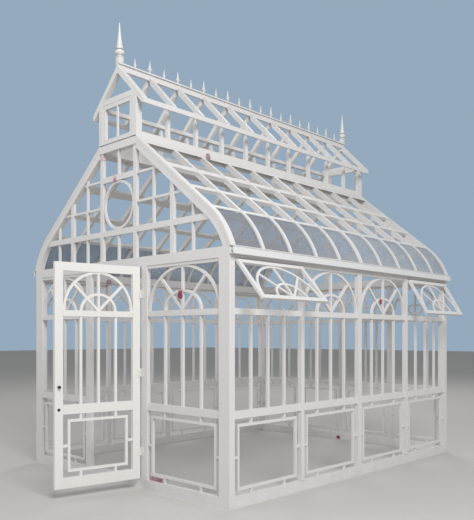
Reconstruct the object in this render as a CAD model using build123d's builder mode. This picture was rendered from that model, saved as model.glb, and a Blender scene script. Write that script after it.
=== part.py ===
"""A white painted metal greenhouse with curved eaves, a raised lantern roof and a hinged door.

The origin is on the ground under the middle of the front sill. X runs across the door wall,
Y runs from the door wall to the rear wall, and Z is up. Lengths are in millimetres.
"""
import os
from math import asin, atan2, cos, degrees, radians, sin, sqrt, tan

from build123d import *

os.makedirs("parts", exist_ok=True)

# Plan, sills, posts and beams
width = 3240.0
length = 4060.0
wall_depth = 70.0
post_depth = 45.0
sill_height = 95.0
beam_bottom = 2200.0
beam_height = 95.0
corner_post_width = 130.0
door_post_width = 85.0
rear_corner_post_width = 86.0
rear_post_width = 70.0
rear_middle_post_width = 100.0
bay_post_width = 50.0
middle_post_width = 70.0
bays_per_side = 4

# Rails and bars of the wall grilles
rail_recess = 8.0
rail_depth = 35.0
lower_opening_height = 685.0
mid_rail_height = 70.0
transom_drop = 500.0
transom_height = 55.0
head_rail_height = 30.0
bar_width = 24.0
bar_depth = 25.0
bar_recess = 15.0
upright_bars = 3
inset_margin = 50.0
arch_lap = 8.0
small_arch_width_share = 0.52
small_arch_height_share = 0.45

# Top hung vents
vent_thickness = 25.0
vent_frame_width = 42.0
vent_bottom_lap = 52.0
vent_side_gap = 5.0
vent_barrel_radius = 8.0
vent_barrel_length = 60.0
vent_barrel_share = 0.3
vent_plate_thickness = 3.0
vent_plate_height = 18.0
front_vent_angle = 41.5
rear_vent_angle = 31.0

# Door
door_opening = 885.0
door_middle_x = -40.0
door_gap = 5.0
door_thickness = 38.0
door_stile = 80.0
door_top_rail = 80.0
door_fan_height = 366.0
door_transom_height = 55.0
door_mid_height = 88.0
door_lower_height = 587.0
door_bottom_rail = 98.0
door_open_angle = 80.0
hinge_end_distance = 230.0
hinge_pin_radius = 4.0
hinge_knuckle_radius = 8.0
hinge_knuckle_length = 40.0
hinge_plate_width = 30.0
hinge_plate_thickness = 3.0
hinge_clearance = 0.3
handle_height = 1040.0
lock_height = 830.0
handle_rose_radius = 14.0
handle_rose_thickness = 4.0
handle_neck_radius = 6.0
handle_neck_length = 18.0
handle_knob_radius = 12.5

# Main roof: a straight slope from the lantern down to a round bend at the eaves
roof_pitch = 38.5
roof_foot_overhang = 23.0
bend_width = 273.0
bend_height = 382.0
rib_bays = 10
gable_rafter_width = 60.0
gable_rafter_depth = 95.0
rib_width = 40.0
rib_depth = 52.0
middle_rib_width = 60.0
purlin_recess = 8.0
purlin_depth = 36.0
upper_purlin_width = 90.0
upper_purlin_reach = 760.0
middle_purlin_width = 60.0
middle_purlin_reach = 360.0
lower_purlin_width = 45.0
glass_recess = 12.0
glass_thickness = 5.0

# Gutter
gutter_reach = 50.0
gutter_height = 70.0
gutter_wall = 4.0

# Lattice in each gable
gable_pitch_inset = 36.5
gable_mullion_width = 50.0
gable_rail_height = 60.0
gable_recess = 8.0
gable_lower_rail_rise = 290.0
gable_thin_rail_rise = 568.0
gable_upper_rail_drop = 288.0
oval_bar_width = 24.0

# Lantern
lantern_half_width = 320.0
lantern_base_rise = 61.0
lantern_base_height = 133.0
lantern_beam_width = 60.0
lantern_post_width = 110.0
lantern_side_post = 40.0
lantern_post_head = 70.0
lantern_post_tip = 14.0
lantern_end_depth = 35.0
lantern_end_bar = 18.0
lantern_post_recess = 5.0
lantern_post_height = 320.0
lantern_plate_height = 103.0
lantern_plate_edge = 24.0
lantern_rafter_seat = 15.0
lantern_pitch = 45.0
lantern_rafter_width = 45.0
lantern_end_rafter_width = 60.0
lantern_rafter_depth = 50.0
lantern_overhang = 95.0
lantern_eaves_rail_thickness = 17.0
lantern_eaves_rail_height = 50.0
flashing_width = 130.0
flashing_thickness = 4.0

# Ridge, cresting and finials
ridge_width = 30.0
ridge_height = 75.0
ridge_scarf = 25.0
ridge_rise = 27.0
ridge_cap_width = 60.0
ridge_cap_height = 14.0
crest_thickness = 12.0
crest_height = 108.0
tall_crest_height = 142.0
finial_base_width = 60.0
finial_base_height = 70.0
finial_neck_radius = 18.0
finial_ball_radius = 47.0
finial_ball_height = 76.0
finial_cone_radius = 35.0
finial_cone_height = 280.0
finial_tip_radius = 3.0

# Places worked out from the sizes above
half_width = width / 2
half_length = length / 2
front_y = -wall_depth / 2
rear_y = front_y + length
middle_y = (front_y + rear_y) / 2
beam_top = beam_bottom + beam_height
mid_rail_bottom = sill_height + lower_opening_height
mid_rail_top = mid_rail_bottom + mid_rail_height
transom_bottom = beam_bottom - transom_drop
transom_top = transom_bottom + transom_height
head_rail_bottom = beam_bottom - head_rail_height
roof_foot_x = half_width + roof_foot_overhang
bend_top_x = roof_foot_x - bend_width
bend_top_z = beam_top + bend_height
gable_pitch = lantern_half_width - gable_pitch_inset

# Each wall's outer face, seen from outside: x to the right, y up, z outwards
front_face = Plane(origin=(0, front_y, 0), x_dir=(1, 0, 0), z_dir=(0, -1, 0))
rear_face = Plane(origin=(0, rear_y, 0), x_dir=(-1, 0, 0), z_dir=(0, 1, 0))
right_face = Plane(origin=(half_width, middle_y, 0), x_dir=(0, 1, 0), z_dir=(1, 0, 0))
left_face = Plane(origin=(-half_width, middle_y, 0), x_dir=(0, -1, 0), z_dir=(-1, 0, 0))


def save(part, name):
    """Name a finished piece and write its file."""
    part.label = name
    export_step(part, f"parts/{name}.step")


def bar(x0, x1, y0, y1):
    """Draw one straight bar in the open sketch."""
    with Locations(((x0 + x1) / 2, (y0 + y1) / 2)):
        Rectangle(x1 - x0, y1 - y0)


# Posts and the bays between them, as distances along each wall seen from outside
door_left = door_middle_x - door_opening / 2
door_right = door_middle_x + door_opening / 2
front_bays = [
    (-half_width + corner_post_width, door_left - door_post_width),
    (door_right + door_post_width, half_width - corner_post_width),
]
rear_widths = [rear_post_width, rear_middle_post_width, rear_post_width]
rear_run = width - 2 * rear_corner_post_width
rear_bay_clear = (rear_run - sum(rear_widths)) / (len(rear_widths) + 1)
rear_posts = []
rear_edges = [-rear_run / 2]
for post_width in rear_widths:
    edge = rear_edges[-1] + rear_bay_clear
    rear_posts.append(edge + post_width / 2)
    rear_edges += [edge, edge + post_width]
rear_edges.append(rear_run / 2)
rear_bays = list(zip(rear_edges[0::2], rear_edges[1::2]))
frame_run = length - gable_rafter_width
side_pitch = frame_run / bays_per_side
side_posts = [(n - bays_per_side / 2) * side_pitch for n in range(1, bays_per_side)]
side_widths = [bay_post_width] * len(side_posts)
side_widths[bays_per_side // 2 - 1] = middle_post_width
side_edges = [-half_length + wall_depth]
for place, post_width in zip(side_posts, side_widths):
    side_edges += [place - post_width / 2, place + post_width / 2]
side_edges.append(half_length - wall_depth)
side_bays = list(zip(side_edges[0::2], side_edges[1::2]))

# Sills on the ground, between the corner posts
with BuildPart() as base_sills:
    with Locations((0, front_y + wall_depth / 2, sill_height / 2)):
        Box(width - 2 * corner_post_width, wall_depth, sill_height)
    with Locations((0, rear_y - wall_depth / 2, sill_height / 2)):
        Box(rear_run, wall_depth, sill_height)
    with Locations((0, middle_y, sill_height / 2)):
        with GridLocations(width - wall_depth, 0, 2, 1):
            Box(wall_depth, length - 2 * wall_depth, sill_height)
save(base_sills.part, "base_sills")

# Corner posts stand on the ground and carry the gable beams
with BuildPart() as corner_posts:
    for post_y, post_width in (
        (front_y + wall_depth / 2, corner_post_width),
        (rear_y - wall_depth / 2, rear_corner_post_width),
    ):
        with Locations((0, post_y, beam_bottom / 2)):
            with GridLocations(width - post_width, 0, 2, 1):
                Box(post_width, wall_depth, beam_bottom)
save(corner_posts.part, "corner_posts")

# The other posts stand on the sills
post_height = beam_bottom - sill_height
post_middle_z = (beam_bottom + sill_height) / 2

with BuildPart() as door_posts:
    with Locations((door_middle_x, front_y + post_depth / 2, post_middle_z)):
        with GridLocations(door_opening + door_post_width, 0, 2, 1):
            Box(door_post_width, post_depth, post_height)
save(door_posts.part, "door_posts")

with BuildPart() as rear_wall_posts:
    for place, post_width in zip(rear_posts, rear_widths):
        with Locations((place, rear_y - post_depth / 2, post_middle_z)):
            Box(post_width, post_depth, post_height)
save(rear_wall_posts.part, "rear_wall_posts")

for side_name, sign in (("left", -1), ("right", 1)):
    with BuildPart() as wall_posts:
        for place, post_width in zip(side_posts, side_widths):
            post_x = sign * (half_width - post_depth / 2)
            with Locations((post_x, middle_y + place, post_middle_z)):
                Box(post_depth, post_width, post_height)
    save(wall_posts.part, f"{side_name}_wall_posts")


def fan_pattern(clear, rise, bar_size):
    """Half round window bars on a spring line: two arches, an upright and two slanted spokes."""
    with BuildSketch() as arches:
        for share_x, share_y in ((1, 1), (small_arch_width_share, small_arch_height_share)):
            reach_x = clear / 2 * share_x
            reach_y = rise * share_y
            Ellipse(reach_x, reach_y)
            Ellipse(reach_x - bar_size, reach_y - bar_size, mode=Mode.SUBTRACT)
        with Locations((0, -rise / 2)):
            Rectangle(clear, rise, mode=Mode.SUBTRACT)
    with BuildSketch() as spokes:
        for turn in (-45, 0, 45):
            with Locations(Location((0, 0), turn)):
                Rectangle(bar_size, 2 * (clear + rise))
        Ellipse(clear / 2 - bar_size / 2, rise - bar_size / 2, mode=Mode.INTERSECT)
        with Locations((0, -rise / 2)):
            Rectangle(clear, rise, mode=Mode.SUBTRACT)
        add(arches.sketch)
    return spokes.sketch


def wall_grilles(face, bays, fans):
    """The rails, upright bars and fans above the lower frames, one welded grille a bay."""
    with BuildPart() as grilles:
        for (left, right), has_fan in zip(bays, fans):
            clear = right - left
            with BuildSketch(face.offset(-rail_recess)):
                bar(left, right, mid_rail_bottom, mid_rail_top)
                bar(left, right, transom_bottom, transom_top)
                bar(left, right, head_rail_bottom, beam_bottom)
            extrude(amount=-rail_depth)
            with BuildSketch(face.offset(-bar_recess)):
                for n in range(1, upright_bars + 1):
                    middle = left + clear * n / (upright_bars + 1)
                    bar(middle - bar_width / 2, middle + bar_width / 2, mid_rail_top, transom_bottom)
                if has_fan:
                    with Locations(((left + right) / 2, transom_top)):
                        rise = head_rail_bottom - transom_top + arch_lap
                        add(fan_pattern(clear, rise, bar_width))
            extrude(amount=-bar_depth)
    return grilles.part


def inset_frame(left, right, bottom, top):
    """Draw a rectangle of bars inside an opening, held off its edges by six short stubs."""
    clear = right - left
    middle_x = (left + right) / 2
    middle_y = (bottom + top) / 2
    with Locations((middle_x, middle_y)):
        Rectangle(clear, bar_width)
        with GridLocations(clear / 2, 0, 2, 1):
            Rectangle(bar_width, top - bottom)
        Rectangle(
            clear - 2 * inset_margin - 2 * bar_width,
            top - bottom - 2 * inset_margin - 2 * bar_width,
            mode=Mode.SUBTRACT,
        )
    for side_x in (left + inset_margin, right - inset_margin - bar_width):
        bar(side_x, side_x + bar_width, bottom + inset_margin, top - inset_margin)
    for side_y in (bottom + inset_margin, top - inset_margin - bar_width):
        bar(left + inset_margin, right - inset_margin, side_y, side_y + bar_width)


def lower_frames(face, bays):
    """The inset rectangles between the sill and the mid rail."""
    with BuildPart() as frames:
        for left, right in bays:
            with BuildSketch(face.offset(-bar_recess)):
                inset_frame(left, right, sill_height, mid_rail_bottom)
            extrude(amount=-bar_depth)
    return frames.part


all_fans = (True,) * (bays_per_side + 1)
vented = (False,) + (True,) * (bays_per_side - 2) + (False,)
for wall_name, face, bays, fans in (
    ("front", front_face, front_bays, all_fans),
    ("rear", rear_face, rear_bays, all_fans),
    ("left", left_face, side_bays, vented),
    ("right", right_face, side_bays, vented),
):
    save(wall_grilles(face, bays, fans), f"{wall_name}_wall_grilles")
    save(lower_frames(face, bays), f"{wall_name}_lower_frames")


def vent(face, left, right, angle):
    """A top hung vent, its hinge line under the beam, swung outwards by an angle."""
    hinge_out = vent_barrel_radius - rail_recess
    hinge_z = head_rail_bottom + vent_barrel_radius
    middle = (left + right) / 2
    clear = right - left - 2 * vent_side_gap
    drop = hinge_z - transom_top + vent_bottom_lap
    tilt = radians(angle)
    hinge = face.from_local_coords((middle, hinge_z, hinge_out))
    leaf_face = Plane(
        origin=hinge,
        x_dir=face.x_dir,
        z_dir=face.z_dir * cos(tilt) + face.y_dir * sin(tilt),
    )
    top = -vent_barrel_radius / 2
    inner_clear = clear - 2 * vent_frame_width
    inner_drop = drop + top - 2 * vent_frame_width
    with BuildPart() as leaf:
        with BuildSketch(leaf_face.offset(-vent_barrel_radius)):
            bar(-clear / 2, clear / 2, -drop, top)
            with Locations((0, (top - drop) / 2)):
                Rectangle(inner_clear, inner_drop, mode=Mode.SUBTRACT)
        extrude(amount=vent_thickness)
        with BuildSketch(leaf_face.offset(-vent_barrel_radius)):
            with Locations((0, -drop + vent_frame_width)):
                add(fan_pattern(inner_clear, inner_drop + arch_lap, bar_width))
        extrude(amount=vent_thickness / 2)
        for share in (-vent_barrel_share, vent_barrel_share):
            barrel_x = middle + clear * share
            start = face.from_local_coords((barrel_x - vent_barrel_length / 2, hinge_z, hinge_out))
            with BuildSketch(Plane(origin=start, x_dir=face.y_dir, z_dir=face.x_dir)):
                Circle(vent_barrel_radius)
            extrude(amount=vent_barrel_length)
            with BuildSketch(face.offset(-rail_recess)):
                with Locations((barrel_x, hinge_z + vent_plate_height / 2)):
                    Rectangle(vent_barrel_length, vent_plate_height)
            extrude(amount=vent_plate_thickness)
    return leaf.part


near_bay = side_bays[0]
far_bay = side_bays[-1]
for vent_name, face, (left, right), angle in (
    ("right_front_vent", right_face, near_bay, front_vent_angle),
    ("right_rear_vent", right_face, far_bay, rear_vent_angle),
    ("left_front_vent", left_face, far_bay, 0.0),
    ("left_rear_vent", left_face, near_bay, 0.0),
):
    save(vent(face, left, right, angle), vent_name)

# Beams along the tops of the four walls
with BuildPart() as gable_beams:
    with Locations((0, middle_y, (beam_bottom + beam_top) / 2)):
        with GridLocations(0, length - wall_depth, 1, 2):
            Box(width, wall_depth, beam_height)
save(gable_beams.part, "gable_beams")

with BuildPart() as eaves_beams:
    with Locations((0, middle_y, (beam_bottom + beam_top) / 2)):
        with GridLocations(width - wall_depth, 0, 2, 1):
            Box(wall_depth, length - 2 * wall_depth, beam_height)
save(eaves_beams.part, "eaves_beams")

# Open channels on the outside of the eaves beams
with BuildPart() as gutters:
    gutter_bottom = beam_top - gutter_height
    for sign in (-1, 1):
        near_x = sign * half_width
        far_x = sign * (half_width + gutter_reach)
        lip_x = sign * (half_width + gutter_reach - gutter_wall)
        back_x = sign * (half_width + gutter_wall)
        with BuildSketch(Plane(origin=(0, middle_y, 0), x_dir=(1, 0, 0), z_dir=(0, -1, 0))):
            bar(min(near_x, far_x), max(near_x, far_x), gutter_bottom, beam_top)
            with Locations(((lip_x + back_x) / 2, beam_top)):
                Rectangle(
                    abs(lip_x - back_x), 2 * (gutter_height - gutter_wall), mode=Mode.SUBTRACT
                )
        extrude(amount=half_length, both=True)
save(gutters.part, "gutters")

# The roof's outer line: straight from the lantern to the bend, then a round arc to the foot
pitch = radians(roof_pitch)
bend_chord = sqrt((roof_foot_x - bend_top_x) ** 2 + (bend_top_z - beam_top) ** 2)
bend_turn = 2 * (atan2(bend_top_z - beam_top, roof_foot_x - bend_top_x) - pitch)
bend_radius = bend_chord / 2 / sin(bend_turn / 2)
bend_centre_x = bend_top_x - bend_radius * sin(pitch)
bend_centre_z = bend_top_z - bend_radius * cos(pitch)


def bend_point(depth, angle):
    """A point of the round bend, at a depth under the outer surface and an angle from upright."""
    radius = bend_radius - depth
    return (bend_centre_x + radius * sin(angle), bend_centre_z + radius * cos(angle))


def foot_angle(depth):
    """The angle at which the bend at this depth comes down to the beam's top."""
    return radians(90) - asin((beam_top - bend_centre_z) / (bend_radius - depth))


def slope_point(depth, reach):
    """A point of the straight slope, by its depth and its distance up from the bend."""
    x, z = bend_point(depth, pitch)
    return (x - reach * cos(pitch), z + reach * sin(pitch))


def slope_top(depth):
    """Where the slope at this depth meets the lantern's side."""
    x, z = bend_point(depth, pitch)
    return (lantern_half_width, z + (x - lantern_half_width) * tan(pitch))


def rib_section(depth):
    """A rafter's side: the slope and the bend, with a depth under the outer line."""
    middle_outer = bend_point(0, (pitch + foot_angle(0)) / 2)
    middle_inner = bend_point(depth, (pitch + foot_angle(depth)) / 2)
    with BuildSketch() as section:
        with BuildLine():
            Line(slope_top(0), bend_point(0, pitch))
            ThreePointArc(bend_point(0, pitch), middle_outer, bend_point(0, foot_angle(0)))
            Line(bend_point(0, foot_angle(0)), bend_point(depth, foot_angle(depth)))
            ThreePointArc(
                bend_point(depth, foot_angle(depth)), middle_inner, bend_point(depth, pitch)
            )
            Line(bend_point(depth, pitch), slope_top(depth))
            Line(slope_top(depth), slope_top(0))
        make_face()
    return section.sketch


def cross_plane(y, sign):
    """An upright plane across the house whose x points to one side."""
    return Plane(origin=(0, y, 0), x_dir=(sign, 0, 0), z_dir=(0, -sign, 0))


# Rafters of both gables, and the ribs between them
rib_pitch = frame_run / rib_bays
rib_places = [middle_y + (n - rib_bays / 2) * rib_pitch for n in range(rib_bays + 1)]
rib_widths = [rib_width] * (rib_bays + 1)
rib_widths[rib_bays // 2] = middle_rib_width
rib_widths[0] = gable_rafter_width
rib_widths[-1] = gable_rafter_width

with BuildPart() as gable_rafters:
    for sign in (-1, 1):
        for y in (rib_places[0], rib_places[-1]):
            with BuildSketch(cross_plane(y, sign)):
                add(rib_section(gable_rafter_depth))
            extrude(amount=gable_rafter_width / 2, both=True)
save(gable_rafters.part, "gable_rafters")

for side_name, sign in (("left", -1), ("right", 1)):
    with BuildPart() as roof_ribs:
        for y, thickness in list(zip(rib_places, rib_widths))[1:-1]:
            with BuildSketch(cross_plane(y, sign)):
                add(rib_section(rib_depth))
            extrude(amount=thickness / 2, both=True)
    save(roof_ribs.part, f"{side_name}_roof_ribs")

    # Purlins are short pieces between the ribs
    with BuildPart() as purlins:
        for n in range(rib_bays):
            start = rib_places[n] + rib_widths[n] / 2
            end = rib_places[n + 1] - rib_widths[n + 1] / 2
            with BuildSketch(cross_plane((start + end) / 2, sign)):
                for low, high in (
                    (0, lower_purlin_width),
                    (middle_purlin_reach, middle_purlin_reach + middle_purlin_width),
                    (upper_purlin_reach, upper_purlin_reach + upper_purlin_width),
                ):
                    with BuildLine():
                        Polyline(
                            slope_point(purlin_recess, low),
                            slope_point(purlin_recess, high),
                            slope_point(purlin_recess + purlin_depth, high),
                            slope_point(purlin_recess + purlin_depth, low),
                            close=True,
                        )
                    make_face()
            extrude(amount=(end - start) / 2, both=True)
    save(purlins.part, f"{side_name}_purlins")

    # Curved panes fill the bend between the lowest purlins and the beam
    under = glass_recess + glass_thickness
    with BuildPart() as eaves_glass:
        for n in range(rib_bays):
            start = rib_places[n] + rib_widths[n] / 2
            end = rib_places[n + 1] - rib_widths[n + 1] / 2
            with BuildSketch(cross_plane((start + end) / 2, sign)):
                with BuildLine():
                    ThreePointArc(
                        bend_point(glass_recess, pitch),
                        bend_point(glass_recess, (pitch + foot_angle(glass_recess)) / 2),
                        bend_point(glass_recess, foot_angle(glass_recess)),
                    )
                    Line(
                        bend_point(glass_recess, foot_angle(glass_recess)),
                        bend_point(under, foot_angle(under)),
                    )
                    ThreePointArc(
                        bend_point(under, foot_angle(under)),
                        bend_point(under, (pitch + foot_angle(under)) / 2),
                        bend_point(under, pitch),
                    )
                    Line(bend_point(under, pitch), bend_point(glass_recess, pitch))
                make_face()
            extrude(amount=(end - start) / 2, both=True)
    save(eaves_glass.part, f"{side_name}_eaves_glass")


lantern_base_top = slope_top(0)[1] + lantern_base_rise
lantern_base_bottom = lantern_base_top - lantern_base_height
gable_lower_rail_z = beam_top + gable_lower_rail_rise
gable_thin_rail_z = beam_top + gable_thin_rail_rise
gable_upper_rail_z = lantern_base_bottom - gable_upper_rail_drop


def gable_outline():
    """The opening of a gable, between the beam, the rafters and the lantern's base."""
    depth = gable_rafter_depth
    foot = bend_point(depth, foot_angle(depth))
    middle = bend_point(depth, (pitch + foot_angle(depth)) / 2)
    top = slope_top(depth)
    with BuildSketch() as outline:
        with BuildLine():
            Line((0, beam_top), foot)
            ThreePointArc(foot, middle, bend_point(depth, pitch))
            Line(bend_point(depth, pitch), top)
            Line(top, (lantern_half_width, lantern_base_bottom))
            Line((lantern_half_width, lantern_base_bottom), (0, lantern_base_bottom))
            Line((0, lantern_base_bottom), (0, beam_top))
        make_face()
        mirror(about=Plane.YZ)
    return outline.sketch


mullion_edge = gable_pitch - gable_mullion_width / 2
gable_levels = (
    (gable_lower_rail_z, gable_rail_height),
    (gable_thin_rail_z, bar_width),
    (gable_upper_rail_z, bar_width),
)
for wall_name, face in (("front", front_face), ("rear", rear_face)):
    # The parts of the lattice left and right of the oval
    with BuildPart() as gable_lattice:
        with BuildSketch(face.offset(-gable_recess)) as heavy:
            for n in (1, 3):
                for sign in (-1, 1):
                    middle = sign * n * gable_pitch
                    edge = gable_mullion_width / 2
                    bar(middle - edge, middle + edge, beam_top, lantern_base_bottom)
            for sign in (-1, 1):
                far = sign * half_width
                near = sign * mullion_edge
                z, height = gable_levels[0]
                bar(min(near, far), max(near, far), z - height / 2, z + height / 2)
            add(gable_outline(), mode=Mode.INTERSECT)
        extrude(amount=-rail_depth)
        with BuildSketch(face.offset(-bar_recess)) as thin:
            for n in (2, 4):
                for sign in (-1, 1):
                    middle = sign * n * gable_pitch
                    edge = bar_width / 2
                    bar(middle - edge, middle + edge, beam_top, lantern_base_bottom)
            for sign in (-1, 1):
                far = sign * half_width
                near = sign * mullion_edge
                for z, height in gable_levels[1:]:
                    bar(min(near, far), max(near, far), z - height / 2, z + height / 2)
            add(gable_outline(), mode=Mode.INTERSECT)
        extrude(amount=-bar_depth)
    save(gable_lattice.part, f"{wall_name}_gable_lattice")

    # The oval and its rails between the two inner mullions
    oval_bottom = gable_lower_rail_z + gable_rail_height / 2
    oval_top = gable_upper_rail_z - gable_rail_height / 2
    with BuildPart() as gable_oval:
        with BuildSketch(face.offset(-gable_recess)):
            for z in (gable_lower_rail_z, gable_upper_rail_z):
                edge = gable_rail_height / 2
                bar(-mullion_edge, mullion_edge, z - edge, z + edge)
        extrude(amount=-rail_depth)
        with BuildSketch(face.offset(-bar_recess)):
            with Locations((0, (oval_bottom + oval_top) / 2)):
                Ellipse(mullion_edge, (oval_top - oval_bottom) / 2 + 1)
                Ellipse(
                    mullion_edge - oval_bar_width,
                    (oval_top - oval_bottom) / 2 - oval_bar_width,
                    mode=Mode.SUBTRACT,
                )
            edge = bar_width / 2
            bar(-edge, edge, beam_top, gable_lower_rail_z)
            bar(-edge, edge, gable_upper_rail_z, lantern_base_bottom)
        extrude(amount=-bar_depth)
    save(gable_oval.part, f"{wall_name}_gable_oval")

# Lantern: a base frame, posts, a top frame and its own little roof
lantern_inner = lantern_half_width - lantern_beam_width
inner_length = length - 2 * wall_depth
with BuildPart() as lantern_base_frame:
    with BuildSketch(Plane.XY.offset(lantern_base_bottom)):
        with Locations((0, middle_y)):
            Rectangle(2 * lantern_half_width, length)
            Rectangle(2 * lantern_inner, inner_length, mode=Mode.SUBTRACT)
    extrude(amount=lantern_base_height)
save(lantern_base_frame.part, "lantern_base_frame")

with BuildPart() as lantern_posts:
    with BuildSketch(Plane.XY.offset(lantern_base_top)):
        with Locations((0, middle_y)):
            corner_x = 2 * lantern_half_width - lantern_post_width
            with GridLocations(corner_x, length - lantern_end_depth, 2, 2):
                Rectangle(lantern_post_width, lantern_end_depth)
            outer_x = 2 * lantern_half_width - lantern_beam_width
            with GridLocations(outer_x, length - wall_depth, 2, 2):
                Rectangle(lantern_beam_width, wall_depth)
            with GridLocations(0, length - lantern_end_bar, 1, 2):
                Rectangle(lantern_end_bar, lantern_end_bar)
    extrude(amount=lantern_post_height)
    side_x = 2 * (lantern_half_width - lantern_post_recess) - lantern_side_post
    shaft_height = lantern_post_height - lantern_post_head
    head_slope = atan2((lantern_side_post - lantern_post_tip) / 2, lantern_post_head)
    for foot, rise, taper in (
        (lantern_base_top, shaft_height, 0),
        (lantern_base_top + shaft_height, lantern_post_head, degrees(head_slope)),
    ):
        with BuildSketch(Plane.XY.offset(foot)):
            with Locations((0, middle_y)):
                with GridLocations(side_x, rib_pitch, 2, rib_bays - 1):
                    Rectangle(lantern_side_post, lantern_side_post)
        extrude(amount=rise, taper=taper)
save(lantern_posts.part, "lantern_posts")

lantern_slope = tan(radians(lantern_pitch))
rafter_drop = lantern_rafter_depth / cos(radians(lantern_pitch))
lantern_plate_bottom = lantern_base_top + lantern_post_height
plate_edge_z = lantern_plate_bottom + lantern_plate_edge
lantern_apex_z = plate_edge_z + rafter_drop + lantern_half_width * lantern_slope


def lantern_outer_z(x):
    """Height of the lantern roof's outer surface at a distance from the middle."""
    return lantern_apex_z - x * lantern_slope


plate_top = lantern_plate_bottom + lantern_plate_height
plate_shoulder_x = (lantern_apex_z - rafter_drop - plate_top) / lantern_slope
with BuildPart() as lantern_top_frame:
    with BuildSketch(cross_plane(middle_y, 1)):
        with BuildLine():
            Polyline(
                (-lantern_half_width, lantern_plate_bottom),
                (lantern_half_width, lantern_plate_bottom),
                (lantern_half_width, plate_edge_z),
                (plate_shoulder_x, plate_top),
                (-plate_shoulder_x, plate_top),
                (-lantern_half_width, plate_edge_z),
                close=True,
            )
        make_face()
    extrude(amount=half_length, both=True)
    end_frame_gap = length - 2 * lantern_end_depth
    with BuildSketch(Plane.XY.offset(lantern_plate_bottom)):
        with Locations((0, middle_y)):
            Rectangle(2 * lantern_inner, end_frame_gap)
    extrude(amount=lantern_plate_height, mode=Mode.SUBTRACT)
    with BuildSketch(Plane.XY.offset(plate_edge_z + lantern_rafter_seat)):
        with Locations((0, middle_y)):
            Rectangle(2 * lantern_half_width, end_frame_gap)
    extrude(amount=lantern_plate_height, mode=Mode.SUBTRACT)
save(lantern_top_frame.part, "lantern_top_frame")

ridge_top = lantern_apex_z + ridge_rise
ridge_bottom = ridge_top - ridge_height
ridge_x = ridge_width / 2
rafter_end_bottom = lantern_outer_z(ridge_x) - rafter_drop
with BuildPart() as lantern_rafters:
    scarf_x = ridge_x + ridge_scarf
    tip_x = lantern_half_width + lantern_overhang
    for n, y in enumerate(rib_places):
        at_end = n in (0, rib_bays)
        thickness = lantern_end_rafter_width if at_end else lantern_rafter_width
        for sign in (-1, 1):
            with BuildSketch(cross_plane(y, sign)):
                with BuildLine():
                    Polyline(
                        (ridge_x, lantern_outer_z(ridge_x)),
                        (tip_x, lantern_outer_z(tip_x)),
                        (tip_x, lantern_outer_z(tip_x) - rafter_drop),
                        (scarf_x, lantern_outer_z(scarf_x) - rafter_drop),
                        (ridge_x, rafter_end_bottom if at_end else ridge_bottom),
                        close=True,
                    )
                make_face()
            extrude(amount=thickness / 2, both=True)
save(lantern_rafters.part, "lantern_rafters")

with BuildPart() as lantern_eaves_rails:
    outer_x = lantern_half_width + lantern_overhang + lantern_eaves_rail_thickness
    rail_top = lantern_outer_z(outer_x)
    with Locations((0, middle_y, rail_top - lantern_eaves_rail_height / 2)):
        with GridLocations(2 * outer_x - lantern_eaves_rail_thickness, 0, 2, 1):
            Box(lantern_eaves_rail_thickness, length, lantern_eaves_rail_height)
save(lantern_eaves_rails.part, "lantern_eaves_rails")

# Sloping skirts from the lantern's base over the tops of the ribs
with BuildPart() as lantern_flashings:
    for sign in (-1, 1):
        top_x, top_z = slope_top(0)
        low_x = top_x + flashing_width * cos(pitch)
        low_z = top_z - flashing_width * sin(pitch)
        lift = flashing_thickness / cos(pitch)
        with BuildSketch(cross_plane(middle_y, sign)):
            with BuildLine():
                Polyline(
                    (top_x, top_z),
                    (low_x, low_z),
                    (low_x, low_z + lift),
                    (top_x, top_z + lift),
                    close=True,
                )
            make_face()
        extrude(amount=half_length, both=True)
save(lantern_flashings.part, "lantern_flashings")

with BuildPart() as ridge_beam:
    with Locations((0, middle_y, ridge_top - ridge_height / 2)):
        Box(ridge_width, length, ridge_height)
    with Locations((0, middle_y, (ridge_top + rafter_end_bottom) / 2)):
        with GridLocations(0, length - lantern_end_rafter_width, 1, 2):
            Box(ridge_width, lantern_end_rafter_width, ridge_top - rafter_end_bottom)
    with Locations((0, middle_y, ridge_top - ridge_cap_height / 2)):
        Box(ridge_cap_width, length, ridge_cap_height)
save(ridge_beam.part, "ridge_beam")

# Spear shaped cresting, a plain spike in each bay and a winged one over each pair of rafters
spike_outline = ((8, 0), (8, 24), (13, 36), (11, 48), (5, 66))
wing_outline = ((7, 0), (7, 40), (37, 30), (11, 66), (9, 84))
with BuildPart() as ridge_cresting:
    for n in range(1, 2 * rib_bays):
        y = rib_places[0] + n * rib_pitch / 2
        over_rafter = n % 2 == 0
        outline = wing_outline if over_rafter else spike_outline
        tip = (0, tall_crest_height if over_rafter else crest_height)
        mirrored = [(-x, z) for x, z in reversed(outline)]
        with BuildSketch(Plane(origin=(0, y, ridge_top), x_dir=(0, 1, 0), z_dir=(1, 0, 0))):
            with BuildLine():
                Polyline(*outline, tip, *mirrored, close=True)
            make_face()
        extrude(amount=crest_thickness / 2, both=True)
save(ridge_cresting.part, "ridge_cresting")

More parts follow.
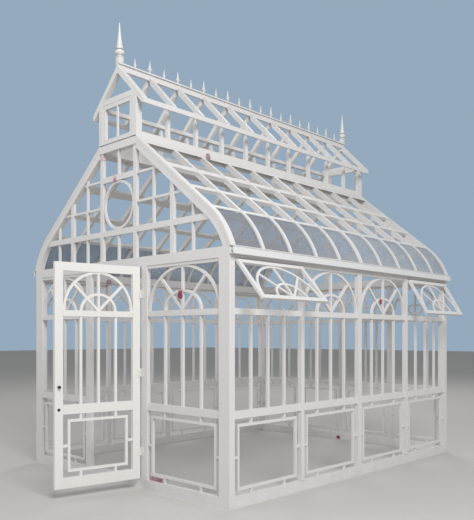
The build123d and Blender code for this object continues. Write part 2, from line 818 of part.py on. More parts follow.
# Turned finials on square blocks at both ends of the ridge
with BuildPart() as ridge_finials:
    for y in (rib_places[0], rib_places[-1]):
        block_top = ridge_top + finial_base_height
        ball_middle = block_top + finial_ball_height / 2
        cone_bottom = block_top + finial_ball_height
        with Locations((0, y, (ridge_top + block_top) / 2)):
            Box(finial_base_width, finial_base_width, finial_base_height)
        with BuildSketch(Plane(origin=(0, y, 0), x_dir=(1, 0, 0), z_dir=(0, -1, 0))):
            with BuildLine():
                Line((0, block_top), (finial_neck_radius, block_top))
                ThreePointArc(
                    (finial_neck_radius, block_top),
                    (finial_ball_radius, ball_middle),
                    (finial_neck_radius, cone_bottom),
                )
                Line((finial_neck_radius, cone_bottom), (finial_cone_radius, cone_bottom))
                Line(
                    (finial_cone_radius, cone_bottom),
                    (finial_tip_radius, cone_bottom + finial_cone_height),
                )
                Line(
                    (finial_tip_radius, cone_bottom + finial_cone_height),
                    (0, cone_bottom + finial_cone_height),
                )
                Line((0, cone_bottom + finial_cone_height), (0, block_top))
            make_face()
        revolve(axis=Axis((0, y, 0), (0, 0, 1)))
save(ridge_finials.part, "ridge_finials")

# The door turns on a line outside its hinge edge, and rests open as in the photograph
axis_x = door_right - door_gap / 2
axis_y = front_y - hinge_knuckle_radius
swing = radians(door_open_angle)
leaf_direction = Vector(-cos(swing), -sin(swing), 0)
into_leaf = Vector(-sin(swing), cos(swing), 0)
door_face = Plane(
    origin=Vector(axis_x, axis_y, 0) + into_leaf * hinge_knuckle_radius,
    x_dir=leaf_direction,
    z_dir=into_leaf,
)
leaf_start = door_gap / 2
leaf_end = leaf_start + door_opening - 2 * door_gap
leaf_bottom = sill_height + door_gap
leaf_top = beam_bottom - door_gap
fan_top = leaf_top - door_top_rail
fan_bottom = fan_top - door_fan_height
door_transom_bottom = fan_bottom - door_transom_height
door_mid_bottom = leaf_bottom + door_bottom_rail + door_lower_height
inner_start = leaf_start + door_stile
inner_end = leaf_end - door_stile
inner_width = inner_end - inner_start
bar_inset = (door_thickness - bar_depth) / 2

with BuildPart() as door_leaf:
    with BuildSketch(door_face):
        bar(leaf_start, leaf_end, leaf_bottom, leaf_top)
        for low, high in (
            (leaf_bottom + door_bottom_rail, door_mid_bottom),
            (door_mid_bottom + door_mid_height, door_transom_bottom),
            (fan_bottom, fan_top),
        ):
            with Locations(((inner_start + inner_end) / 2, (low + high) / 2)):
                Rectangle(inner_width, high - low, mode=Mode.SUBTRACT)
    extrude(amount=door_thickness)
    with BuildSketch(door_face.offset(bar_inset)):
        inset_frame(inner_start, inner_end, leaf_bottom + door_bottom_rail, door_mid_bottom)
        for n in range(1, upright_bars + 1):
            middle = inner_start + inner_width * n / (upright_bars + 1)
            edge = bar_width / 2
            bar(middle - edge, middle + edge, door_mid_bottom + door_mid_height, door_transom_bottom)
        with Locations(((inner_start + inner_end) / 2, fan_bottom)):
            add(fan_pattern(inner_width, fan_top - fan_bottom + arch_lap, bar_width))
    extrude(amount=bar_depth)
save(door_leaf.part, "door_leaf")

# A knob and a round lock plate on both faces of the free stile
stile_middle = leaf_end - door_stile / 2
with BuildPart() as door_handle:
    for face_plane, outwards in ((door_face, -1), (door_face.offset(door_thickness), 1)):
        with BuildSketch(face_plane):
            with Locations((stile_middle, handle_height), (stile_middle, lock_height)):
                Circle(handle_rose_radius)
        extrude(amount=outwards * handle_rose_thickness)
        with BuildSketch(face_plane.offset(outwards * handle_rose_thickness)):
            with Locations((stile_middle, handle_height)):
                Circle(handle_neck_radius)
        extrude(amount=outwards * handle_neck_length)
        knob_out = handle_rose_thickness + handle_neck_length
        with Locations(face_plane.offset(outwards * knob_out)):
            with Locations((stile_middle, handle_height, 0)):
                Sphere(handle_knob_radius)
save(door_handle.part, "door_handle")


def hinge_half(plane, direction, bottom, is_pin_half):
    """One half of a hinge: its knuckle on the axis, and its plate on the face beside it."""
    middle = bottom + hinge_knuckle_length
    top = middle + hinge_knuckle_length
    low = bottom if is_pin_half else middle + hinge_clearance
    high = middle if is_pin_half else top
    plate_near = direction * (hinge_knuckle_radius + 1)
    plate_far = plate_near + direction * hinge_plate_width
    face_y = hinge_knuckle_radius
    web_y = face_y - hinge_plate_thickness
    with BuildPart() as half:
        with BuildSketch(plane.offset(low)):
            Circle(hinge_knuckle_radius)
            bar(min(0, plate_near), max(0, plate_near), web_y, face_y)
        extrude(amount=high - low)
        with BuildSketch(plane.offset(bottom)):
            bar(min(plate_near, plate_far), max(plate_near, plate_far), web_y, face_y)
        extrude(amount=top - bottom)
        with BuildSketch(plane.offset(middle)):
            Circle(hinge_pin_radius if is_pin_half else hinge_pin_radius + hinge_clearance)
        extrude(amount=hinge_knuckle_length, mode=Mode.ADD if is_pin_half else Mode.SUBTRACT)
    return half.part


hinge_height = 2 * hinge_knuckle_length
lowest_hinge = leaf_bottom + hinge_end_distance
highest_hinge = leaf_top - hinge_end_distance - hinge_height
hinge_places = (lowest_hinge, (lowest_hinge + highest_hinge) / 2, highest_hinge)

# Looking down on the axis: x runs along the wall or the leaf, y into the wall or the leaf
post_side = Plane(origin=(axis_x, axis_y, 0), x_dir=(1, 0, 0), z_dir=(0, 0, 1))
leaf_side = Plane(origin=(axis_x, axis_y, 0), x_dir=-leaf_direction, z_dir=(0, 0, 1))

with BuildPart() as door_hinge_plates:
    for height in hinge_places:
        add(hinge_half(post_side, 1, height, True))
save(door_hinge_plates.part, "door_hinge_plates")

with BuildPart() as door_hinge_knuckles:
    for height in hinge_places:
        add(hinge_half(leaf_side, -1, height, False))
save(door_hinge_knuckles.part, "door_hinge_knuckles")
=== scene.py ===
from math import asin, atan2, cos, hypot, pi, radians, sin

import bmesh
import bpy
from mathutils import Matrix, Vector


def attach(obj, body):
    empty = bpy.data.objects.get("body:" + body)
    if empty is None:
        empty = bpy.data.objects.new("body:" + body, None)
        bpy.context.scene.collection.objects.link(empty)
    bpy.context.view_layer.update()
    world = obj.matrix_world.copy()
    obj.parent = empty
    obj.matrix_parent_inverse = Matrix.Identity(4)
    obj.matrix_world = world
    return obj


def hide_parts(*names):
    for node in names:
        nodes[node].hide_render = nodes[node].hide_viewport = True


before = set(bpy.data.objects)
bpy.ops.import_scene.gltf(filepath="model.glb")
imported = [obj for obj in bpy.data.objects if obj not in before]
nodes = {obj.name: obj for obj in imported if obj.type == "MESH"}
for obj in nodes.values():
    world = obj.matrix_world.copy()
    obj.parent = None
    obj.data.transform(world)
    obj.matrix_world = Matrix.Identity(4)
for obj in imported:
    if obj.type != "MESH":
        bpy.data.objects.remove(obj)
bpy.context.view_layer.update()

# Viewpoint. The house is seen from outside its front right corner, at standing eye height and
# with level sight. The picture is shifted upward to take in the finials.
picture_height = 520
focal_pixels = 667.0
horizon_row = 336.3
sensor_size = 36.0
eye_place = (5.654, -4.163, 1.507)
eye_turn = radians(43.68)

camera_data = bpy.data.cameras.new("viewpoint")
camera_data.sensor_width = sensor_size
camera_data.lens = sensor_size * focal_pixels / picture_height
camera_data.shift_y = (horizon_row - picture_height / 2) / picture_height
camera = bpy.data.objects.new("viewpoint", camera_data)
camera.location = eye_place
camera.rotation_euler = (radians(90), 0, eye_turn)
bpy.context.scene.collection.objects.link(camera)
bpy.context.scene.camera = camera
bpy.context.scene.view_settings.view_transform = "Standard"


# Studio. A plain warm grey floor under the house and a plain blue grey surround, with one
# broad lamp high on the right, where the sun stood, and weaker ones on the left and behind.
class Wire:
    """A socket of a node tree, such as a number, colour or shape. Sums of numbers add nodes."""

    def __init__(self, tree, socket=None):
        self.tree = tree
        self.socket = socket

    def node(self, kind, settings=None, inputs=None, output=0):
        """Add a node of a type: its settings first, then the values or links of its sockets."""
        made = self.tree.nodes.new(kind)
        for name, value in (settings or {}).items():
            setattr(made, name, value)
        for name, value in (inputs or {}).items():
            if isinstance(value, Wire):
                self.tree.links.new(value.socket, made.inputs[name])
            else:
                made.inputs[name].default_value = value
        return Wire(self.tree, made.outputs[output])

    def maths(self, operation, first, second, clamp=False):
        """A Math node on two numbers."""
        settings = {"operation": operation, "use_clamp": clamp}
        return self.node("ShaderNodeMath", settings, {0: first, 1: second})

    def __add__(self, other):
        return self.maths("ADD", self, other)

    def __radd__(self, other):
        return self.maths("ADD", other, self)

    def __sub__(self, other):
        return self.maths("SUBTRACT", self, other)

    def __rsub__(self, other):
        return self.maths("SUBTRACT", other, self)

    def __mul__(self, other):
        return self.maths("MULTIPLY", self, other)

    def __rmul__(self, other):
        return self.maths("MULTIPLY", other, self)

    def kept(self):
        """The number, kept between 0 and 1."""
        return self.maths("ADD", self, 0.0, clamp=True)

    def step(self, low, high):
        """0 below one value, 1 above another, and smooth between them."""
        settings = {"interpolation_type": "SMOOTHSTEP"}
        return self.node(
            "ShaderNodeMapRange", settings, {"Value": self, "From Min": low, "From Max": high}
        )

    def mixed(self, share, other):
        """This colour, with a share of another one laid over it."""
        settings = {"data_type": "RGBA"}
        inputs = {"Factor": share, 6: self, 7: other}
        return self.node("ShaderNodeMix", settings, inputs, output=2)

    def noise(self, scale, detail=3.0):
        """A grain over this vector, from 0 to 1."""
        inputs = {"Vector": self, "Scale": scale, "Detail": detail}
        return self.node("ShaderNodeTexNoise", None, inputs)

    def scaled(self, x, y, z):
        """This vector, drawn out by a different amount along each axis."""
        return self.node("ShaderNodeMapping", None, {"Vector": self, "Scale": (x, y, z)})

    def part(self, axis):
        """One of the three numbers of this vector."""
        return self.node("ShaderNodeSeparateXYZ", None, {0: self}, output=axis)


def new_finish(name):
    """A material with its shader, and a wire to build on."""
    material = bpy.data.materials.new(name)
    material.use_nodes = True
    shader = material.node_tree.nodes["Principled BSDF"]
    return material, shader, Wire(material.node_tree)


studio_tone = (0.30, 0.40, 0.51, 1.0)
floor_tone = (0.52, 0.505, 0.48, 1.0)
world_strength = 0.37

world = bpy.data.worlds.new("surround")
world.use_nodes = True
bpy.context.scene.world = world
world_wire = Wire(world.node_tree)
path = "ShaderNodeLightPath"
seen = world_wire.node(path, output="Is Camera Ray") + world_wire.node(path, output="Is Glossy Ray")
seen = (seen + world_wire.node(path, output="Is Transmission Ray")).kept()
background = world.node_tree.nodes["Background"]
plain = world_wire.node("ShaderNodeRGB")
plain.socket.default_value = (world_strength, world_strength, world_strength, 1.0)
world.node_tree.links.new(plain.mixed(seen, studio_tone).socket, background.inputs["Color"])

floor_half = 60.0
floor_mesh = bpy.data.meshes.new("floor")
floor_mesh.from_pydata(
    [(x * floor_half, y * floor_half, 0) for x, y in ((-1, -1), (1, -1), (1, 1), (-1, 1))],
    [],
    [(0, 1, 2, 3)],
)
floor = bpy.data.objects.new("floor", floor_mesh)
bpy.context.scene.collection.objects.link(floor)
floor_finish, floor_shader = new_finish("plain_floor")[:2]
floor_shader.inputs["Base Color"].default_value = floor_tone
floor_shader.inputs["Roughness"].default_value = 0.9
floor.data.materials.append(floor_finish)

for lamp_name, place, aim, size, power in (
    ("sun_side_lamp", (9.0, -3.5, 8.5), (0.3, 1.8, 1.4), 5.0, 1130.0),
    ("left_lamp", (-6.0, -8.0, 6.0), (0.0, 1.5, 1.5), 6.0, 290.0),
    ("rear_lamp", (-6.0, 11.0, 10.5), (0.0, 2.5, 1.5), 5.0, 480.0),
):
    lamp_data = bpy.data.lights.new(lamp_name, "AREA")
    lamp_data.shape = "SQUARE"
    lamp_data.size = size
    lamp_data.energy = power
    lamp = bpy.data.objects.new(lamp_name, lamp_data)
    lamp.location = place
    direction = Vector(aim) - Vector(place)
    lamp.rotation_euler = direction.to_track_quat("-Z", "Y").to_euler()
    bpy.context.scene.collection.objects.link(lamp)


# Sills, posts, beams and the bars of the walls and roof. They are square steel tube, welded,
# primed and sprayed with satin white. Dust lies on what faces up, and splashes of soil dry on
# the lowest bars.
def painted_steel(name, tone, dust_share=0.3):
    """Sprayed paint: a little cloudy, with runs and chips, dust on top and soil near the ground."""
    run_tone, run_share = (0.45, 0.43, 0.38, 1.0), 0.10
    dust_tone = (0.50, 0.46, 0.40, 1.0)
    soil_tone, soil_share, soil_height = (0.42, 0.36, 0.28, 1.0), 0.16, 0.30
    chip_tone, chip_share = (0.30, 0.29, 0.28, 1.0), 0.8
    peel_depth = 0.0006
    finish, shader, wire = new_finish(name)
    place = wire.node("ShaderNodeTexCoord", output="Object")
    facing = wire.node("ShaderNodeNewGeometry", output="Normal").part(2)
    height = place.part(2)

    clouds = place.noise(1.7, 4.0)
    runs = place.scaled(38.0, 38.0, 1.1).noise(1.0, 3.0)
    specks = place.noise(210.0, 2.0)

    tint = wire.node("ShaderNodeRGB")
    tint.socket.default_value = tone
    cool = (tone[0] * 0.9, tone[1] * 0.92, tone[2] * 0.95, 1.0)
    colour = tint.mixed(((clouds - 0.35) * 0.5).kept(), cool)
    colour = colour.mixed(runs.step(0.58, 0.8) * run_share, run_tone)
    dust = (facing.step(0.55, 0.95) * (place.noise(9.0, 5.0) + 0.25)).kept() * dust_share
    colour = colour.mixed(dust, dust_tone)
    splash = (1.0 - height.step(0.0, soil_height)) * place.noise(7.0, 5.0).step(0.40, 0.8)
    colour = colour.mixed((splash * soil_share).kept(), soil_tone)
    chips = specks.step(0.745, 0.765) * place.noise(3.1, 2.0).step(0.5, 0.62)
    colour = colour.mixed(chips * chip_share, chip_tone)
    links = finish.node_tree.links
    links.new(colour.socket, shader.inputs["Base Color"])

    rough = 0.36 + clouds * 0.12 + dust * 0.6 + splash * 0.25
    links.new(rough.kept().socket, shader.inputs["Roughness"])
    peel = place.noise(420.0, 2.0) * 0.6 + place.noise(70.0, 3.0) * 0.4 - chips * 0.8
    inputs = {"Strength": 0.22, "Distance": peel_depth, "Height": peel}
    bump = wire.node("ShaderNodeBump", None, inputs)
    links.new(bump.socket, shader.inputs["Normal"])
    return finish


def dress(finish, *names):
    """Give a finish to the solids of these names."""
    for name in names:
        nodes[name].data.materials.clear()
        nodes[name].data.materials.append(finish)


frame_white = (0.69, 0.68, 0.67, 1.0)
frame_paint = painted_steel("frame_paint", frame_white)
others = ("glass", "gutters", "door_leaf", "door_handle", "door_hinge")
dress(frame_paint, *[name for name in nodes if not any(word in name for word in others)])


# Weld seams. Every bar is joined by a thin fillet of weld all round its end, ground lightly
# and painted over. A seam is one closed run of bead, laid round the bar's outline.
def new_tree(name, sizes):
    """A node tree with a geometry in and out, and wires for its named sizes."""
    tree = bpy.data.node_groups.new(name, "GeometryNodeTree")
    sockets = tree.interface
    sockets.new_socket("Geometry", in_out="INPUT", socket_type="NodeSocketGeometry")
    for title, kind in sizes.items():
        sockets.new_socket(title, in_out="INPUT", socket_type="NodeSocket" + kind)
    sockets.new_socket("Geometry", in_out="OUTPUT", socket_type="NodeSocketGeometry")
    given = tree.nodes.new("NodeGroupInput")
    return tree, {socket.name: Wire(tree, socket) for socket in given.outputs if socket.name}


def close_tree(made, finish):
    """End a tree: realize what it made and give it a finish."""
    whole = made.node("GeometryNodeRealizeInstances", None, {0: made})
    inputs = {"Geometry": whole, "Material": finish}
    painted = whole.node("GeometryNodeSetMaterial", None, inputs)
    end = made.tree.nodes.new("NodeGroupOutput")
    made.tree.links.new(painted.socket, end.inputs[0])


def grow(name, mesh, tree, sizes, body):
    """Run a tree on a mesh, keep the result as a plain mesh, and let it ride on a body."""
    piece = bpy.data.objects.new(name, mesh)
    bpy.context.scene.collection.objects.link(piece)
    modifier = piece.modifiers.new("build", "NODES")
    modifier.node_group = tree
    for item in tree.interface.items_tree:
        if item.in_out == "INPUT" and item.name in sizes:
            modifier[item.identifier] = sizes[item.name]
    made = piece.evaluated_get(bpy.context.evaluated_depsgraph_get())
    plain_mesh = bpy.data.meshes.new_from_object(made)
    piece.modifiers.clear()
    piece.data = plain_mesh
    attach(piece, body)
    return piece


bead_sizes = {"Bead Radius": "Float", "Step": "Float", "Unevenness": "Float", "Finish": "Material"}
bead_tree, bead = new_tree("bead_along_lines", bead_sizes)
run = bead["Geometry"].node("GeometryNodeMeshToCurve", None, {"Mesh": bead["Geometry"]})
inputs = {"Curve": run, "Length": bead["Step"]}
run = run.node("GeometryNodeResampleCurve", {"mode": "LENGTH"}, inputs)
swell = run.node("ShaderNodeTexNoise", None, {"Scale": 90.0, "Detail": 1.0})
swell = 1.0 + (swell - 0.5) * bead["Unevenness"]
run = run.node("GeometryNodeSetCurveRadius", None, {"Curve": run, "Radius": swell})
inputs = {"Resolution": 5, "Radius": bead["Bead Radius"]}
ring = run.node("GeometryNodeCurvePrimitiveCircle", None, inputs)
inputs = {"Curve": run, "Profile Curve": ring, "Fill Caps": True}
run = run.node("GeometryNodeCurveToMesh", None, inputs)
run = run.node("GeometryNodeSetShadeSmooth", None, {"Geometry": run})
close_tree(run, bead["Finish"])

half_width = 1.62
front_y = -0.035
rear_y = 4.025
middle_y = 1.995
sill_top = 0.095
beam_bottom = 2.2
beam_top = 2.295
rail_levels = ((0.78, 0.85), (1.70, 1.755), (2.17, 2.2))
rail_face = 0.008
rail_back = 0.043
bar = 0.024
bar_face = 0.015
bar_back = 0.04
inset_margin = 0.05
small_arch_share = 0.52
post_width = 0.05
post_depth = 0.045
front_bays = ((-1.49, -0.5675), (0.4875, 1.49))
rear_bays = ((-1.534, -0.827), (-0.757, -0.05), (0.05, 0.757), (0.827, 1.534))
side_bays = ((-1.96, -1.025), (-0.975, -0.035), (0.035, 0.975), (1.025, 1.96))
vent_bays = (0, 3)


def on_front(across, height, depth):
    """A point of the door wall: how far across and up, and how deep behind its face."""
    return (across, front_y + depth, height)


def on_rear(across, height, depth):
    """The same point of the rear wall, seen from outside."""
    return (-across, rear_y - depth, height)


def on_right(across, height, depth):
    """The same point of the right wall, counted from its middle."""
    return (half_width - depth, middle_y + across, height)


def on_left(across, height, depth):
    """The same point of the left wall, counted from its middle."""
    return (-half_width + depth, middle_y - across, height)


def upright_end(wall, middle, height, width=bar, face=bar_face, back=bar_back):
    """The outline of an upright bar where it meets a rail."""
    low, high = middle - width / 2, middle + width / 2
    return [wall(u, height, d) for u, d in ((low, face), (high, face), (high, back), (low, back))]


def level_end(wall, across, low, high, face=bar_face, back=bar_back):
    """The outline of a level bar where it meets a post."""
    return [wall(across, h, d) for h, d in ((low, face), (high, face), (high, back), (low, back))]


def inset_seams(wall, left, right, bottom, top):
    """The seams of the six stubs that hold an inset rectangle, at both ends of each."""
    seams = []
    middle = (bottom + top) / 2
    for edge, turn in ((left, 1), (right, -1)):
        for across in (edge, edge + turn * inset_margin):
            seams.append(level_end(wall, across, middle - bar / 2, middle + bar / 2))
    for share in (0.25, 0.75):
        across = left + (right - left) * share
        for height in (bottom, bottom + inset_margin, top - inset_margin, top):
            seams.append(upright_end(wall, across, height))
    return seams


def bay_seams(wall, left, right, has_fan):
    """All the seams of one bay of a wall."""
    seams = inset_seams(wall, left, right, sill_top, rail_levels[0][0])
    for low, high in rail_levels:
        for across in (left, right):
            seams.append(level_end(wall, across, low, high, rail_face, rail_back))
    clear = right - left
    for n in (1, 2, 3):
        for height in (rail_levels[0][1], rail_levels[1][0]):
            seams.append(upright_end(wall, left + clear * n / 4, height))
    if has_fan:
        middle = (left + right) / 2
        for reach in (clear / 2 - bar / 2, clear / 2 * small_arch_share - bar / 2):
            for turn in (-1, 1):
                seams.append(upright_end(wall, middle + turn * reach, rail_levels[1][1]))
        seams.append(upright_end(wall, middle, rail_levels[2][0]))
    return seams


def lines_mesh(name, runs, closed=True):
    """A mesh of edges only, one run of them for each list of places."""
    places, edges = [], []
    for run_places in runs:
        first = len(places)
        count = len(run_places)
        places += run_places
        edges += [(first + n, first + n + 1) for n in range(count - 1)]
        if closed:
            edges.append((first + count - 1, first))
    mesh = bpy.data.meshes.new(name)
    mesh.from_pydata(places, edges, [])
    return mesh


all_bays = (
    (on_front, front_bays), (on_rear, rear_bays), (on_right, side_bays), (on_left, side_bays)
)
wall_seams = []
for wall, bays in all_bays:
    for n, (left, right) in enumerate(bays):
        vented = wall in (on_right, on_left) and n in vent_bays
        wall_seams += bay_seams(wall, left, right, not vented)
for wall, bays in all_bays[:3]:
    corner = bays[-1][1]
    for left, right in bays:
        for edge, turn in ((left, -1), (right, 1)):
            if abs(edge) < corner:
                post = edge + turn * post_width / 2
                for height in (sill_top, beam_bottom):
                    wall_seams.append(upright_end(wall, post, height, post_width, 0.0, post_depth))
weld_radius = 0.0028
weld_step = 0.008
weld_sizes = {
    "Bead Radius": weld_radius, "Step": weld_step, "Unevenness": 0.5, "Finish": frame_paint
}
wall_lines = lines_mesh("wall_seams", wall_seams)
grow("wall_weld_seams", wall_lines, bead_tree, weld_sizes, "root")

# Seams of the roof. The ribs are welded to the beams at their feet and to the lantern at
# their tops, the short purlins to the ribs, and the upright bars of the gables to the beams.
pitch = radians(38.5)
bend_top = (1.37, 2.677)
foot_x = 1.643
lantern_half = 0.32
roof_bays = 10
rib_pitch = 0.4
rib_width = 0.04
main_rib_width = 0.06
rib_places = [middle_y + (n - roof_bays / 2) * rib_pitch for n in range(roof_bays + 1)]
rib_widths = [rib_width if n % 5 else main_rib_width for n in range(roof_bays + 1)]
purlin_reaches = ((0.0, 0.045), (0.36, 0.42), (0.76, 0.85))
purlin_depths = (0.008, 0.044)
touch = 0.0005


def slope_place(reach, depth):
    """A point of the roof's slope: how far up from the bend, and how deep under the surface."""
    x = bend_top[0] - reach * cos(pitch) - depth * sin(pitch)
    return x, bend_top[1] + reach * sin(pitch) - depth * cos(pitch)


roof_seams = []
rib_mesh = nodes["right_roof_ribs"].data
foot_places = [v.co.x for v in rib_mesh.vertices if v.co.z < beam_top + touch]
top_places = [v.co.z for v in rib_mesh.vertices if v.co.x < lantern_half + touch]
for side in (-1, 1):
    for y, width in list(zip(rib_places, rib_widths))[1:-1]:
        near, far = y - width / 2, y + width / 2
        inner, outer = side * min(foot_places), side * max(foot_places)
        corners = ((inner, near), (outer, near), (outer, far), (inner, far))
        roof_seams.append([(x, place, beam_top) for x, place in corners])
        low, high = min(top_places), max(top_places)
        corners = ((low, near), (high, near), (high, far), (low, far))
        roof_seams.append([(side * lantern_half, place, z) for z, place in corners])
    for n in range(roof_bays):
        ends = (rib_places[n] + rib_widths[n] / 2, rib_places[n + 1] - rib_widths[n + 1] / 2)
        for y in ends:
            for low, high in purlin_reaches:
                top, under = purlin_depths
                corners = ((low, top), (high, top), (high, under), (low, under))
                points = [slope_place(reach, depth) for reach, depth in corners]
                roof_seams.append([(side * x, y, z) for x, z in points])
gable_pitch = 0.2835
gable_bar = 0.05
for wall in (on_front, on_rear):
    for n in range(-4, 5):  # the odd ones are the wider bars
        width = gable_bar if n % 2 else bar
        face, back = (rail_face, rail_back) if n % 2 else (bar_face, bar_back)
        roof_seams.append(upright_end(wall, n * gable_pitch, beam_top, width, face, back))
roof_lines = lines_mesh("roof_seams", roof_seams)
grow("roof_weld_seams", roof_lines, bead_tree, weld_sizes, "root")

# Curved eaves panes. Clear sheets, bent to the line of the ribs and bedded between them, with
# a film of dust, thicker along their lower edges. The film's tone is partly painted light: dark
# grey on the front panes as painted dark reflections, and pale toward the rear as painted sheen.
pane_finish, pane_shader, pane_wire = new_finish("curved_glass")
pane_tree = pane_finish.node_tree
pane_shader.inputs["Base Color"].default_value = (0.86, 0.90, 0.92, 1.0)
pane_shader.inputs["Transmission Weight"].default_value = 1.0
pane_shader.inputs["Roughness"].default_value = 0.03
pane_shader.inputs["IOR"].default_value = 1.45
dust_and_painted_light_shader = pane_tree.nodes.new("ShaderNodeBsdfPrincipled")
dust_and_painted_light_shader.inputs["Roughness"].default_value = 0.85
pane_place = pane_wire.node("ShaderNodeTexCoord", output="Object")
wet_edge = (2.29, 2.42)
film = pane_place.noise(5.0, 5.0) * 0.35 + pane_place.scaled(60.0, 60.0, 3.0).noise(1.0) * 0.25
low_edge = 1.0 - pane_place.part(2).step(*wet_edge)
# Painted light: the film's tone rises from dark on the front panes to pale at the rear.
rear_sheen_share = pane_place.part(1).step(0.5, 2.4)
film = (film * 0.8 + low_edge * 0.2 + 0.17).kept()
dust_and_reflection_tint = pane_wire.node("ShaderNodeRGB")
dust_and_reflection_tint.socket.default_value = (0.29, 0.295, 0.32, 1.0)
dust_and_painted_light_colour = dust_and_reflection_tint.mixed(rear_sheen_share, (0.47, 0.49, 0.52, 1.0))
pane_tree.links.new(dust_and_painted_light_colour.socket, dust_and_painted_light_shader.inputs["Base Color"])
film_mix = pane_tree.nodes.new("ShaderNodeMixShader")
pane_tree.links.new(film.socket, film_mix.inputs[0])
pane_tree.links.new(pane_shader.outputs[0], film_mix.inputs[1])
pane_tree.links.new(dust_and_painted_light_shader.outputs[0], film_mix.inputs[2])
pane_tree.links.new(film_mix.outputs[0], pane_tree.nodes["Material Output"].inputs["Surface"])
dress(pane_finish, "left_eaves_glass", "right_eaves_glass")

# Pane seals. A bead of pale grey sealant runs along the ribs, where the edges of each pane
# are bedded, and along the beam and the lowest purlin.
seal_finish, seal_shader, seal_wire = new_finish("pane_sealant")
seal_place = seal_wire.node("ShaderNodeTexCoord", output="Object")
seal_tint = seal_wire.node("ShaderNodeRGB")
seal_tint.socket.default_value = (0.40, 0.41, 0.42, 1.0)
seal_colour = seal_tint.mixed(seal_place.noise(35.0, 4.0), (0.52, 0.53, 0.53, 1.0))
seal_links = seal_finish.node_tree.links
seal_links.new(seal_colour.socket, seal_shader.inputs["Base Color"])
seal_links.new((seal_place.noise(60.0) * 0.3 + 0.35).socket, seal_shader.inputs["Roughness"])

bend_rise = bend_top[1] - beam_top
bend_run = foot_x - bend_top[0]
bend_turn = 2 * (atan2(bend_rise, bend_run) - pitch)
bend_radius = hypot(bend_rise, bend_run) / 2 / sin(bend_turn / 2)
bend_centre = (bend_top[0] - bend_radius * sin(pitch), bend_top[1] - bend_radius * cos(pitch))
pane_depth = 0.012
pane_radius = bend_radius - pane_depth
pane_foot = pi / 2 - asin((beam_top - bend_centre[1]) / pane_radius)
arc_steps = 12
seal_inset = 0.0015
pane_edges = []
for side in (-1, 1):
    for n in range(roof_bays):
        near = rib_places[n] + rib_widths[n] / 2 + seal_inset
        far = rib_places[n + 1] - rib_widths[n + 1] / 2 - seal_inset
        arc = []
        for step in range(arc_steps + 1):
            angle = pitch + (pane_foot - pitch) * step / arc_steps
            x = bend_centre[0] + pane_radius * sin(angle)
            arc.append((side * x, bend_centre[1] + pane_radius * cos(angle)))
        edge = [(x, near, z) for x, z in arc] + [(x, far, z) for x, z in reversed(arc)]
        pane_edges.append(edge)
seal_radius = 0.004
seal_step = 0.02
seal_sizes = {
    "Bead Radius": seal_radius, "Step": seal_step, "Unevenness": 0.25, "Finish": seal_finish
}
pane_lines = lines_mesh("pane_edges", pane_edges)
grow("pane_seals", pane_lines, bead_tree, seal_sizes, "root")


# Cresting along the ridge. Cast spears, screwed to the ridge cap: a plain one in the middle of
# each bay and a taller one with two barbs over each pair of rafters.
def cast_spear(name, outline, height):
    """A flat casting with eased edges, and a round foot where it stands on the cap."""
    thickness, ease = 0.012, 0.0012
    foot_steps = ((0.0, 0.011), (0.007, 0.008))
    step_height = 0.007
    shape = bmesh.new()
    ring_places = [*outline, (0.0, height)] + [(-x, z) for x, z in reversed(outline)]
    corners = [shape.verts.new((-thickness / 2, x, z)) for x, z in ring_places]
    face = shape.faces.new(corners)
    raised = bmesh.ops.extrude_face_region(shape, geom=[face])
    moved = [item for item in raised["geom"] if isinstance(item, bmesh.types.BMVert)]
    bmesh.ops.translate(shape, verts=moved, vec=(thickness, 0, 0))
    rims = [edge for edge in shape.edges if abs(edge.verts[0].co.x - edge.verts[1].co.x) < 1e-6]
    bmesh.ops.bevel(
        shape, geom=rims, offset=ease, segments=1, affect="EDGES", clamp_overlap=True
    )
    bmesh.ops.triangulate(shape, faces=[face for face in shape.faces if len(face.verts) > 4])
    for z, radius in foot_steps:
        bmesh.ops.create_cone(
            shape, cap_ends=True, segments=10, radius1=radius, radius2=radius * 0.8,
            depth=step_height, matrix=Matrix.Translation((0, 0, z + step_height / 2)),
        )
    bmesh.ops.recalc_face_normals(shape, faces=shape.faces)
    mesh = bpy.data.meshes.new(name)
    shape.to_mesh(mesh)
    shape.free()
    return bpy.data.objects.new(name, mesh)


def points_mesh(name, places):
    """Loose points, each with the direction that its piece faces."""
    mesh = bpy.data.meshes.new(name)
    mesh.from_pydata([place for place, facing in places], [], [])
    directions = mesh.attributes.new("facing", "FLOAT_VECTOR", "POINT")
    for n, (place, facing) in enumerate(places):
        directions.data[n].vector = facing
    return mesh


set_sizes = {"Piece": "Object", "Finish": "Material"}
set_tree, given = new_tree("pieces_on_points", set_sizes)
inputs = {"Object": given["Piece"]}
part_shape = given["Piece"].node("GeometryNodeObjectInfo", None, inputs, "Geometry")
facing = part_shape.node(
    "GeometryNodeInputNamedAttribute", {"data_type": "FLOAT_VECTOR"}, {"Name": "facing"}
)
turned_to = facing.node("FunctionNodeAlignRotationToVector", {"axis": "Z"}, {"Vector": facing})
inputs = {"Points": given["Geometry"], "Instance": part_shape, "Rotation": turned_to}
close_tree(facing.node("GeometryNodeInstanceOnPoints", None, inputs), given["Finish"])

